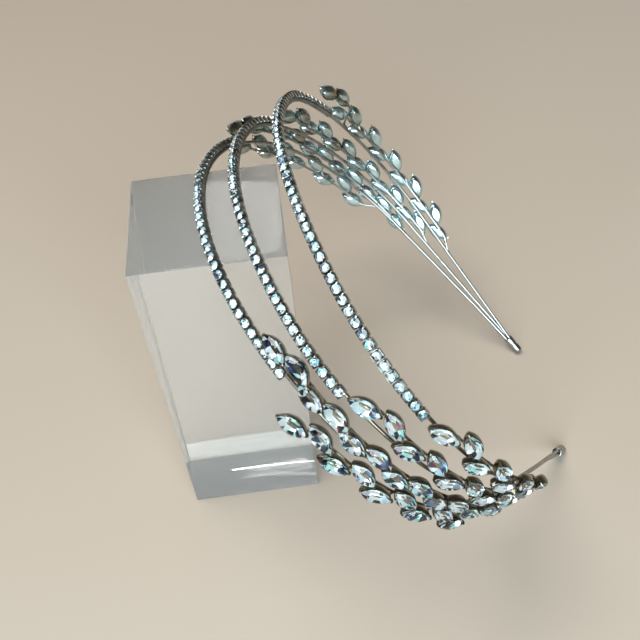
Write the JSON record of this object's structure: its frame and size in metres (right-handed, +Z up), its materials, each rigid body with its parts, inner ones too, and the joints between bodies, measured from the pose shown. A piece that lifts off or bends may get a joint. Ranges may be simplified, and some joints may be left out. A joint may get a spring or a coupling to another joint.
{
  "type": "rhinestone headband on a clear acrylic block",
  "caption": "Silver headband of thin wires with rhinestone cup chains over the crown and sprays of crystal leaves on the arms, leaning against a clear acrylic block.",
  "frame": {"origin": "middle of the block's foot, on the surface that the block and the band rest on", "axes": "+Z up, +X from the block towards the band's ends, +Y away from the picture's camera, towards the far arm"},
  "size_m": [0.1219, 0.141, 0.1196],
  "materials": {
    "metal": "polished silver plate",
    "chain_crystal": "clear cut, foiled back",
    "leaf_crystal": "clear cut, foiled back",
    "acrylic": "clear, polished"
  },
  "bodies": {
    "root": {"front_wire": "metal", "middle_wire": "metal", "rear_wire": "metal", "near_sleeve": "metal", "far_sleeve": "metal", "front_chain_cups": "metal", "middle_chain_cups": "metal", "rear_chain_cups": "metal", "front_chain_stones": "chain_crystal", "middle_chain_stones": "chain_crystal", "rear_chain_stones": "chain_crystal", "front_leaf_stones": "leaf_crystal", "middle_leaf_stones": "leaf_crystal", "rear_leaf_stones": "leaf_crystal", "display_block": "acrylic"}
  },
  "joints": []
}
